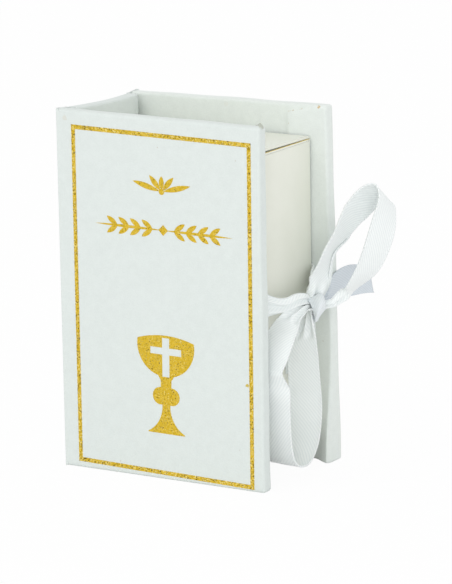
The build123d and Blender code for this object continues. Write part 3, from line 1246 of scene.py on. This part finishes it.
@dataclass
class FoilPrint:
    """The gold prints on the front cover."""

    border: str = "foil_border"
    figures: tuple[str, ...] = ("foil_chalice", "foil_ornament")

    def build(self, finishes: Finishes) -> None:
        """Give each print its foil.

        Args:
            finishes: The box's materials.
        """
        node_piece(self.border, finishes.border_foil, 0.0)
        for name in self.figures:
            node_piece(name, finishes.figure_foil, 0.0)
        LOG.info("foil prints: %s", ", ".join((self.border, *self.figures)))


@dataclass
class Carton:
    """The folded card box inside the case, and the glue that holds it."""

    edge: float = 0.00012
    glue: str = "glue_dabs"
    glue_edge: float = 0.0002

    def build(self, finishes: Finishes) -> None:
        """Give each panel and flap its card, and the dabs their glue.

        Args:
            finishes: The box's materials.
        """
        panels = [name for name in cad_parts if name.startswith("carton_")]
        for name in panels:
            node_piece(name, finishes.card, self.edge)
        node_piece(self.glue, finishes.glue, self.glue_edge)
        LOG.info("carton: %d panels and flaps", len(panels))


# The ribbon


RIBBON_WIDTH = 0.0063
RIBBON_THICK = 0.00022


def route(points: Sequence[Point], steps: int) -> np.ndarray:
    """Read a smooth line off a spline with these control points.

    Args:
        points: The control points.
        steps: Points read off for each stretch.

    Returns:
        The line's points.
    """
    curve = bpy.data.curves.new("route", "CURVE")
    curve.dimensions = "3D"
    curve.resolution_u = steps
    spline = curve.splines.new("NURBS")
    spline.points.add(len(points) - 1)
    for control, place in zip(spline.points, points):
        control.co = (*place, 1.0)
    spline.order_u = 3
    spline.use_endpoint_u = True
    spline.resolution_u = steps
    holder = bpy.data.objects.new("route", curve)
    mesh = bpy.data.meshes.new_from_object(holder)
    line = np.array([vertex.co[:] for vertex in mesh.vertices])
    bpy.data.objects.remove(holder)
    bpy.data.curves.remove(curve)
    bpy.data.meshes.remove(mesh)
    return line


def weave(made: bpy.types.Object, woven: np.ndarray, shaded: np.ndarray) -> None:
    """Store where each point lies in the cloth, and how much painted shade darkens its colour.

    Args:
        made: The ribbon's piece.
        woven: Each point's place along and across the cloth.
        shaded: Each point's share of painted shade, from 0 to 1.
    """
    store = made.data.attributes.new("woven_place", "FLOAT_VECTOR", "POINT")
    store.data.foreach_set("vector", woven.astype(np.float32).ravel())
    store = made.data.attributes.new("shaded", "FLOAT", "POINT")
    store.data.foreach_set("value", shaded.astype(np.float32))


def cloth_place(along: float, across: np.ndarray) -> np.ndarray:
    """Return where a section's points lie in the cloth, up one side and back down the other.

    Args:
        along: The section's place along the ribbon.
        across: The places across the ribbon on one side.

    Returns:
        A place for every point of the section.
    """
    place = np.stack([np.full(len(across), along), across, np.zeros(len(across))], axis=1)
    return section(place, place)


@dataclass
class Strip:
    """One length of the ribbon: a free end with its loop and tail, or the knot's turn.

    Each station is a point on the ribbon's middle line and the visible width there, from edge
    to edge. Where that is less than the ribbon's width, the cloth is gathered in folds. The
    gather gives the share of the width where the folds start, and how soon they are full.
    """

    name: str
    nodes: tuple[str, ...]
    stations: tuple[Station, ...]
    folds: float = 2.0
    fold_turn: float = 0.4
    fold_drift: float = 60.0
    width: float = RIBBON_WIDTH
    thick: float = RIBBON_THICK
    edge_thick: float = 0.0004
    rim: tuple[float, float] = (0.86, 0.09)
    bead: float = 0.0006
    bead_low: float = 0.45
    scallop: float = 0.012
    fullness: float = 1.6
    gather: tuple[float, float] = (0.82, 0.3)
    cup: float = 0.00012
    twill: float = 1.0
    free: bool = True
    turned_edge: tuple[float, float, float] | None = None
    turned_fade: tuple[float, float] = (0.03, 0.06)
    turned_drop: float = 1.15
    turned_bend: float = 0.06
    # Painted shade: past shaded_from along the strip, its colour darkens towards the satin's blue-grey, by
    # up to shaded_most.
    shaded_from: float = 1.0
    shaded_most: float = 1.0
    shaded_fade: float = 0.06
    crowding: float = 0.4
    across: int = 30
    steps: int = 16

    def build(self, finishes: Finishes, body: Body) -> None:
        """Make the cloth along its route.

        Args:
            finishes: The box's materials.
            body: The body that the strip rides on.
        """
        centres = route([centre for centre, _ in self.stations], self.steps)
        sides = route([side for _, side in self.stations], self.steps)
        points, woven = self.cloth(centres, sides)
        faces = strip_faces(len(centres), self.across)
        made = piece(self.name, points, faces, finishes.satin, body, Slot.SATIN_RIBBON, *self.nodes)
        length = float(run_along(centres)[-1])
        # Painted shade, stored for the satin to darken the colour with.
        shade = ease((woven[:, 0] / length - self.shaded_from) / self.shaded_fade)
        weave(made, woven, self.shaded_most * shade)
        if self.free:
            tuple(self.stations[0][0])
        LOG.info("%s: %.1f mm of ribbon", made.name, length * 1000.0)

    def cloth(self, centres: np.ndarray, sides: np.ndarray) -> tuple[np.ndarray, np.ndarray]:
        """Lay the ribbon's section along the route, gathered in folds where it is narrow.

        Args:
            centres: The route's points.
            sides: The ribbon's visible width at each point, edge to edge.

        Returns:
            The mesh's points, and each point's place along and across the cloth.
        """
        heading = headings(centres)
        square = sides - heading * np.sum(sides * heading, axis=1, keepdims=True)
        shown = np.linalg.norm(square, axis=1)
        normals = np.cross(heading, square)
        normals /= np.linalg.norm(normals, axis=1, keepdims=True)
        run = run_along(centres)
        share = np.clip(self.width / np.maximum(shown, 1e-6), 1.0, self.fullness)
        start, reach = self.gather
        gathered = ease((self.width * start - shown) / (self.width * reach))
        depth = np.sqrt(2.0 * (share**2 - 1.0)) * shown / 2.0 / (self.folds * math.pi) * gathered
        cup = self.cup * (1.0 - gathered)
        even = np.linspace(-1.0, 1.0, self.across)
        v = np.sin(even * math.pi / 2.0) * self.crowding + even * (1.0 - self.crowding)
        rim = ease((np.abs(v) - self.rim[0]) / self.rim[1])
        over = self.turned(run / run[-1])
        rows, woven = [], []
        for i, centre in enumerate(centres):
            fold = depth[i] * np.sin(v * self.folds * math.pi + self.fold_turn + run[i] * self.fold_drift)
            past = np.maximum(v - (1.0 - over[i]), 0.0)
            lie = (v - 2.0 * past) / (1.0 - over[i])
            fold += cup[i] * np.cos(v * math.pi / 2.0)
            fold -= self.thick * self.turned_drop * ease(past / self.turned_bend)
            bead = 0.5 + 0.5 * math.sin(2.0 * math.pi * run[i] / self.bead)
            beaded = rim * (self.bead_low + (1.0 - self.bead_low) * bead)
            half = (self.thick + (self.edge_thick - self.thick) * beaded) / 2.0
            edge = 1.0 + self.scallop * rim * (bead - 0.5)
            base = centre + np.outer(lie * edge / 2.0, sides[i]) + np.outer(fold, normals[i])
            rise = np.outer(half, normals[i])
            rows.append(section(base + rise, base - rise))
            woven.append(cloth_place(run[i], v * self.width / 2.0 * self.twill))
        return np.concatenate(rows), np.concatenate(woven)

    def turned(self, share: np.ndarray) -> np.ndarray:
        """Return how much of the half width is folded over along one edge.

        Args:
            share: How far along the ribbon each section lies, from 0 to 1.

        Returns:
            The folded share of the half width at each section.
        """
        if self.turned_edge is None:
            return np.zeros(len(share))
        start, end, most = self.turned_edge
        opens, closes = self.turned_fade
        return most * ease((share - start) / opens) * ease((end - share) / closes)


FRONT_END = Strip(
    name="ribbon_front_end",
    nodes=("ribbon_front_tie", "ribbon_lower_loop", "ribbon_lower_tail"),
    stations=(
        ((0.0185, -0.01145, 0.0359), (0.0, 0.0, -0.0063)),
        ((0.0192, -0.0113, 0.0358), (0.0003, -0.0002, -0.0062)),
        ((0.0202, -0.0088, 0.0351), (0.0005, -0.0008, -0.0043)),
        ((0.0215, -0.0068, 0.0346), (-0.0003, 0.0008, -0.0032)),
        ((0.0225, -0.0048, 0.0344), (-0.0006, 0.0014, -0.0027)),
        ((0.0235, -0.0025, 0.0352), (-0.0002, 0.0011, -0.0027)),
        ((0.0242, 0.0014, 0.0346), (-0.0001, 0.0009, -0.0025)),
        ((0.0238, 0.0017, 0.0327), (0.0023, -0.0011, -0.0016)),
        ((0.0244, -0.0011, 0.0339), (0.0021, -0.0010, -0.0009)),
        ((0.0242, -0.0039, 0.0329), (0.0027, -0.0008, -0.0012)),
        ((0.0238, -0.0055, 0.0323), (0.0037, -0.0004, -0.0013)),
        ((0.0236, -0.0069, 0.0313), (0.0050, -0.0006, -0.0015)),
        ((0.0231, -0.0083, 0.0296), (0.0059, -0.0001, -0.0009)),
        ((0.0226, -0.0092, 0.0279), (0.0065, 0.0006, 0.0002)),
        ((0.0223, -0.0101, 0.0255), (0.0062, 0.0007, 0.0004)),
        ((0.0220, -0.0106, 0.0238), (0.0059, 0.0002, 0.0005)),
        ((0.0218, -0.0110, 0.0225), (0.0056, -0.0003, 0.0006)),
        ((0.0220, -0.0106, 0.0210), (0.0060, 0.0004, 0.0005)),
        ((0.0223, -0.0103, 0.0197), (0.0061, 0.0019, 0.0002)),
        ((0.0222, -0.0099, 0.0177), (0.0065, 0.0012, 0.0004)),
        ((0.0218, -0.0090, 0.0147), (0.0063, 0.0008, 0.0004)),
        ((0.0219, -0.0086, 0.0106), (0.0061, 0.0002, 0.0004)),
        ((0.0219, -0.0080, 0.0073), (0.0062, -0.0003, 0.0004)),
        ((0.0219, -0.0071, 0.0047), (0.0063, -0.0004, 0.0001)),
        ((0.0219, -0.0048, 0.0032), (0.0062, -0.0001, -0.0002)),
        ((0.0221, -0.0014, 0.0033), (0.0060, -0.0001, -0.0005)),
        ((0.0224, 0.0004, 0.0059), (0.0063, 0.0006, -0.0002)),
        ((0.0226, 0.0009, 0.0095), (0.0067, 0.0009, 0.0003)),
        ((0.0229, 0.0009, 0.0145), (0.0061, 0.0020, -0.0002)),
        ((0.0230, 0.0, 0.0206), (0.0061, 0.0013, 0.0002)),
        ((0.0230, -0.0002, 0.0239), (0.0061, 0.0010, 0.0005)),
        ((0.0232, -0.0004, 0.0263), (0.0053, 0.0009, 0.0004)),
        ((0.0238, -0.0001, 0.0287), (0.0040, 0.0002, 0.0004)),
        ((0.0242, -0.0001, 0.0306), (0.0029, -0.0005, 0.0004)),
        ((0.0236, 0.0014, 0.0331), (0.0017, -0.0013, 0.0004)),
        ((0.0235, 0.0019, 0.0322), (0.0012, 0.0031, -0.0001)),
        ((0.0221, 0.0023, 0.0286), (0.0023, 0.0034, 0.0)),
        ((0.0210, 0.0026, 0.0242), (0.0041, 0.0051, 0.0)),
        ((0.0209, 0.0026, 0.0197), (0.0039, 0.0049, 0.0)),
    ),
)

BACK_END = Strip(
    name="ribbon_back_end",
    nodes=("ribbon_back_tie", "ribbon_upper_loop", "ribbon_upper_tail"),
    twill=-1.0,
    turned_edge=(0.18, 0.32, 0.3),
    # Painted shade darkens the tail, past 0.74 of this end's length.
    shaded_from=0.74,
    stations=(
        ((0.0185, 0.01145, 0.0359), (0.0, 0.0, -0.0063)),
        ((0.0192, 0.0113, 0.0358), (0.0, 0.0, -0.0062)),
        ((0.0198, 0.0096, 0.0358), (0.0003, 0.0, -0.0056)),
        ((0.0210, 0.0064, 0.0349), (0.0005, -0.0003, -0.0041)),
        ((0.0221, 0.0040, 0.0343), (0.0007, -0.0004, -0.0030)),
        ((0.0241, 0.0010, 0.0323), (0.0017, -0.0004, -0.0020)),
        ((0.0238, 0.0022, 0.0333), (0.0017, 0.0027, -0.0010)),
        ((0.0252, 0.0033, 0.0375), (0.0022, 0.0041, -0.0009)),
        ((0.0257, 0.0042, 0.0408), (-0.0003, 0.0058, -0.0001)),
        ((0.0263, 0.0049, 0.0432), (-0.0011, 0.0058, -0.0007)),
        ((0.0270, 0.0072, 0.0453), (-0.0008, 0.0073, -0.0014)),
        ((0.0275, 0.0070, 0.0462), (-0.0004, 0.0058, -0.0019)),
        ((0.0289, 0.0090, 0.0499), (0.0007, 0.0050, -0.0037)),
        ((0.0295, 0.0098, 0.0508), (0.0010, 0.0046, -0.0042)),
        ((0.0303, 0.0111, 0.0522), (0.0009, 0.0043, -0.0047)),
        ((0.0313, 0.0124, 0.0534), (0.0003, 0.0044, -0.0048)),
        ((0.0328, 0.0132, 0.0540), (-0.0004, 0.0048, -0.0044)),
        ((0.0341, 0.0128, 0.0533), (-0.0001, 0.0054, -0.0033)),
        ((0.0349, 0.0121, 0.0521), (0.0004, 0.0056, -0.0028)),
        ((0.0349, 0.0103, 0.0478), (0.0021, 0.0056, -0.0024)),
        ((0.0341, 0.0089, 0.0436), (0.0019, 0.0055, -0.0025)),
        ((0.0327, 0.0077, 0.0397), (0.0008, 0.0058, -0.0027)),
        ((0.0298, 0.0061, 0.0362), (-0.0017, 0.0056, -0.0016)),
        ((0.0293, 0.0060, 0.0353), (-0.0005, 0.0032, -0.0023)),
        ((0.0280, 0.0049, 0.0342), (0.0, 0.0020, -0.0017)),
        ((0.0274, 0.0039, 0.0334), (-0.0005, 0.0021, -0.0014)),
        ((0.0236, 0.0020, 0.0329), (0.0023, -0.0015, -0.0015)),
        ((0.0232, 0.0027, 0.0321), (-0.0005, 0.0018, -0.0023)),
        ((0.0229, 0.0069, 0.0327), (-0.0007, 0.0019, -0.0025)),
        ((0.0232, 0.0120, 0.0347), (0.0010, 0.0012, -0.0049)),
        ((0.0234, 0.0172, 0.0351), (0.0006, 0.0010, -0.0063)),
        ((0.0242, 0.0213, 0.0347), (0.0002, 0.0014, -0.0059)),
        ((0.0247, 0.0239, 0.0343), (0.0, 0.0015, -0.0060)),
    ),
)


KNOT = Strip(
    name="ribbon_knot_satin",
    nodes=("ribbon_knot",),
    free=False,
    folds=0.7,
    fold_turn=1.2,
    # Painted shade darkens the whole knot, by up to 0.45.
    shaded_from=-0.1,
    shaded_most=0.45,
    stations=(
        ((0.0240, 0.0034, 0.0329), (0.0014, 0.0006, -0.0011)),
        ((0.0246, 0.0028, 0.0342), (0.0024, 0.0013, -0.0014)),
        ((0.0254, 0.0017, 0.0346), (0.0030, 0.0016, -0.0019)),
        ((0.0261, 0.0007, 0.0342), (0.0027, 0.0017, -0.0019)),
        ((0.0262, 0.0, 0.0330), (0.0015, 0.0013, -0.0016)),
        ((0.0260, -0.0001, 0.0319), (0.0007, 0.0007, -0.0010)),
        ((0.0257, 0.0003, 0.0308), (0.0004, 0.0002, -0.0005)),
        ((0.0248, 0.0016, 0.0304), (0.0005, 0.0003, -0.0001)),
        ((0.0240, 0.0029, 0.0313), (0.0008, 0.0004, -0.0004)),
    ),
)


@dataclass
class Ribbon:
    """One white satin ribbon round the carton, tied in a bow at the fore-edge."""

    body: Body = Body.BACK
    middle: float = 0.0359
    width: float = RIBBON_WIDTH
    thick: float = RIBBON_THICK
    left: float = -0.01945
    right: float = 0.0185
    half_depth: float = 0.01145
    corner: float = 0.0004
    across: int = 13
    rim: tuple[float, float] = (0.8, 0.15)
    rim_swell: float = 0.35

    def build(self, finishes: Finishes) -> None:
        """Make the band, the knot and both free ends.

        Args:
            finishes: The box's materials.
        """
        for strip in (FRONT_END, BACK_END, KNOT):
            strip.build(finishes, self.body)
        self.build_band(finishes)

    def line(self) -> np.ndarray:
        """Return the band's path round three sides of the carton, from above.

        Returns:
            The path's points.
        """
        turn_x, turn_y = self.left + self.corner, self.half_depth - self.corner
        back_x = np.linspace(self.right, turn_x, 60)[:-1]
        back = np.stack([back_x, np.full(len(back_x), self.half_depth)], axis=1)
        side_y = np.linspace(turn_y, -turn_y, 36)[1:-1]
        side = np.stack([np.full(len(side_y), self.left), side_y], axis=1)
        angles = np.radians(np.linspace(90.0, 180.0, 8))
        round_x = turn_x + self.corner * np.cos(angles)
        round_y = turn_y + self.corner * np.sin(angles)
        half = np.concatenate([back, np.stack([round_x, round_y], axis=1)])
        return np.concatenate([half, side, half[::-1] * (1.0, -1.0)])

    def build_band(self, finishes: Finishes) -> None:
        """Make the flat stretch that goes round the carton.

        Args:
            finishes: The box's materials.
        """
        path = self.line()
        heading, run = headings(path), run_along(path)
        v = np.linspace(-1.0, 1.0, self.across)
        rim = ease((np.abs(v) - self.rim[0]) / self.rim[1])
        half = self.thick / 2.0 * (1.0 + self.rim_swell * rim)
        across = v * self.width / 2.0
        rows, woven = [], []
        for (x, y), (ahead_x, ahead_y), along in zip(path, heading, run):
            outside, inside = (
                np.stack([x - ahead_y * out, y + ahead_x * out, self.middle + across], axis=1)
                for out in (half, -half)
            )
            rows.append(section(outside, inside))
            woven.append(cloth_place(along, across))
        faces = strip_faces(len(path), self.across)
        points, places = np.concatenate(rows), np.concatenate(woven)
        slot = Slot.SATIN_RIBBON
        made = piece("ribbon_band_satin", points, faces, finishes.satin, self.body, slot, "ribbon_band")
        weave(made, places, np.zeros(len(places)))
        LOG.info("%s: %.1f mm round the carton", made.name, run[-1] * 1000.0)


# Camera, floor and light


WHITE = (1.0, 1.0, 1.0, 1.0)


@dataclass
class Lamp:
    """A soft square lamp that points at the box."""

    name: str
    place: Point
    size: float
    power: float

    def build(self, aim: Vector) -> None:
        """Hang the lamp and turn it to the box.

        Args:
            aim: The point that it shines at.
        """
        data = bpy.data.lights.new(self.name, "AREA")
        data.size = self.size
        data.energy = self.power
        lamp = linked(self.name, data)
        lamp.location = self.place
        lamp.rotation_mode = "QUATERNION"
        lamp.rotation_quaternion = (aim - Vector(self.place)).to_track_quat("-Z", "Y")


@dataclass
class Studio:
    """The camera at the photograph's viewpoint, a pale floor and soft lamps."""

    image: tuple[int, int] = (452, 584)
    focal_pixels: float = 3680.21
    azimuth: float = 31.277
    elevation: float = 12.662
    roll: float = -1.049
    distance: float = 0.709672
    slide: tuple[float, float] = (0.005170, -0.001105)
    aim: Vector = field(default_factory=lambda: Vector((0.0, 0.0, 0.035)))
    sensor: float = 36.0
    lamps: tuple[Lamp, ...] = (
        Lamp("key", (-0.35, -0.75, 0.75), 0.45, 1.15),
        Lamp("fill", (0.52, -0.7, 0.1), 0.5, 2.0),
    )
    ambient: float = 0.9
    floor_half: float = 3.0
    floor_white: float = 0.96

    def build(self) -> None:
        """Set up the view, the floor and the light."""
        self.build_camera()
        self.build_floor()
        self.build_world()
        for lamp in self.lamps:
            lamp.build(self.aim)
        bpy.context.scene.view_settings.view_transform = "Standard"

    def build_camera(self) -> None:
        """Place the camera."""
        azimuth, elevation, roll = (math.radians(a) for a in (self.azimuth, self.elevation, self.roll))
        right = Vector((math.cos(azimuth), math.sin(azimuth), 0.0))
        level = math.cos(elevation)
        ahead = -Vector((math.sin(azimuth) * level, -math.cos(azimuth) * level, math.sin(elevation)))
        up = right.cross(ahead)
        turned_right = right * math.cos(roll) + up * math.sin(roll)
        turned_up = up * math.cos(roll) - right * math.sin(roll)
        target = self.aim + turned_right * self.slide[0] + turned_up * self.slide[1]
        data = bpy.data.cameras.new("camera")
        data.sensor_width = self.sensor
        data.lens = self.focal_pixels * self.sensor / max(self.image)
        data.clip_start, data.clip_end = 0.01, 10.0
        turn = Matrix((turned_right, turned_up, -ahead)).transposed().to_4x4()
        camera = linked("camera", data)
        camera.matrix_world = Matrix.Translation(target - ahead * self.distance) @ turn
        bpy.context.scene.camera = camera

    def seen(self, w: Wiring) -> Socket:
        """Return 1 for rays that show the background, directly or in a gloss.

        Args:
            w: The tree's wiring.

        Returns:
            The mask's socket.
        """
        path = w.add("ShaderNodeLightPath")
        direct = w.math("MAXIMUM", path.outputs["Is Camera Ray"], path.outputs["Is Glossy Ray"])
        return w.math("MAXIMUM", direct, path.outputs["Is Transmission Ray"])

    def build_floor(self) -> None:
        """Lay a pale floor that keeps a faint shadow."""
        mesh = bpy.data.meshes.new("floor")
        half = self.floor_half
        corners = [(-half, -half, 0.0), (half, -half, 0.0), (half, half, 0.0), (-half, half, 0.0)]
        mesh.from_pydata(corners, [], [[0, 1, 2, 3]])
        material = bpy.data.materials.new("pale_floor")
        material.use_nodes = True
        w = Wiring(material.node_tree)
        base = w.tones(w.noise(w.place(), 300.0), (0.3, 0.7), "#EDEDED", "#F2F2F2")
        coat = {"Base Color": base, "Roughness": 0.9, "Specular IOR Level": 0.1}
        paint = w.add("ShaderNodeBsdfPrincipled", coat).outputs[0]
        glow = w.add("ShaderNodeEmission", {"Color": WHITE, "Strength": 1.0}).outputs[0]
        share = w.times(self.seen(w), self.floor_white)
        surface = w.add("ShaderNodeMixShader", {0: share, 1: paint, 2: glow}).outputs[0]
        w.add("ShaderNodeOutputMaterial", {"Surface": surface})
        mesh.materials.append(material)
        floor = linked("floor", mesh)

    def build_world(self) -> None:
        """Fill the room with even light, and show it white."""
        world = bpy.data.worlds.new("room")
        world.use_nodes = True
        bpy.context.scene.world = world
        w = Wiring(world.node_tree)
        strength = w.plus(self.ambient, w.times(self.seen(w), 1.0 - self.ambient))
        glow = w.add("ShaderNodeBackground", {"Color": WHITE, "Strength": strength}).outputs[0]
        w.add("ShaderNodeOutputWorld", {"Surface": glow})


def main() -> None:
    """Build the camera, the ribbon and then the rest of the box."""
    logging.basicConfig(level=logging.INFO, format="%(name)s: %(message)s")
    Studio().build()
    finishes = Finishes()
    Ribbon().build(finishes)
    front_nodes = ("front_wrap", "front_board", "front_lining")
    Cover(Side.FRONT, Body.FRONT, front_nodes, head_rise=0.0003, burr=0.0008, seed=1.3).build(finishes)
    back = Cover(
        Side.BACK,
        Body.BACK,
        ("back_wrap", "back_board", "back_lining"),
        skew=0.00055,
        head_rise=-0.00035,
        swell=0.0029,
        lap=0.00025,
        slant=(0.0067, 0.0016),
        seed=2.9,
    )
    back.build(finishes)
    Spine().build(finishes)
    FoilPrint().build(finishes)
    Carton().build(finishes)


if __name__ == "__main__":
    main()
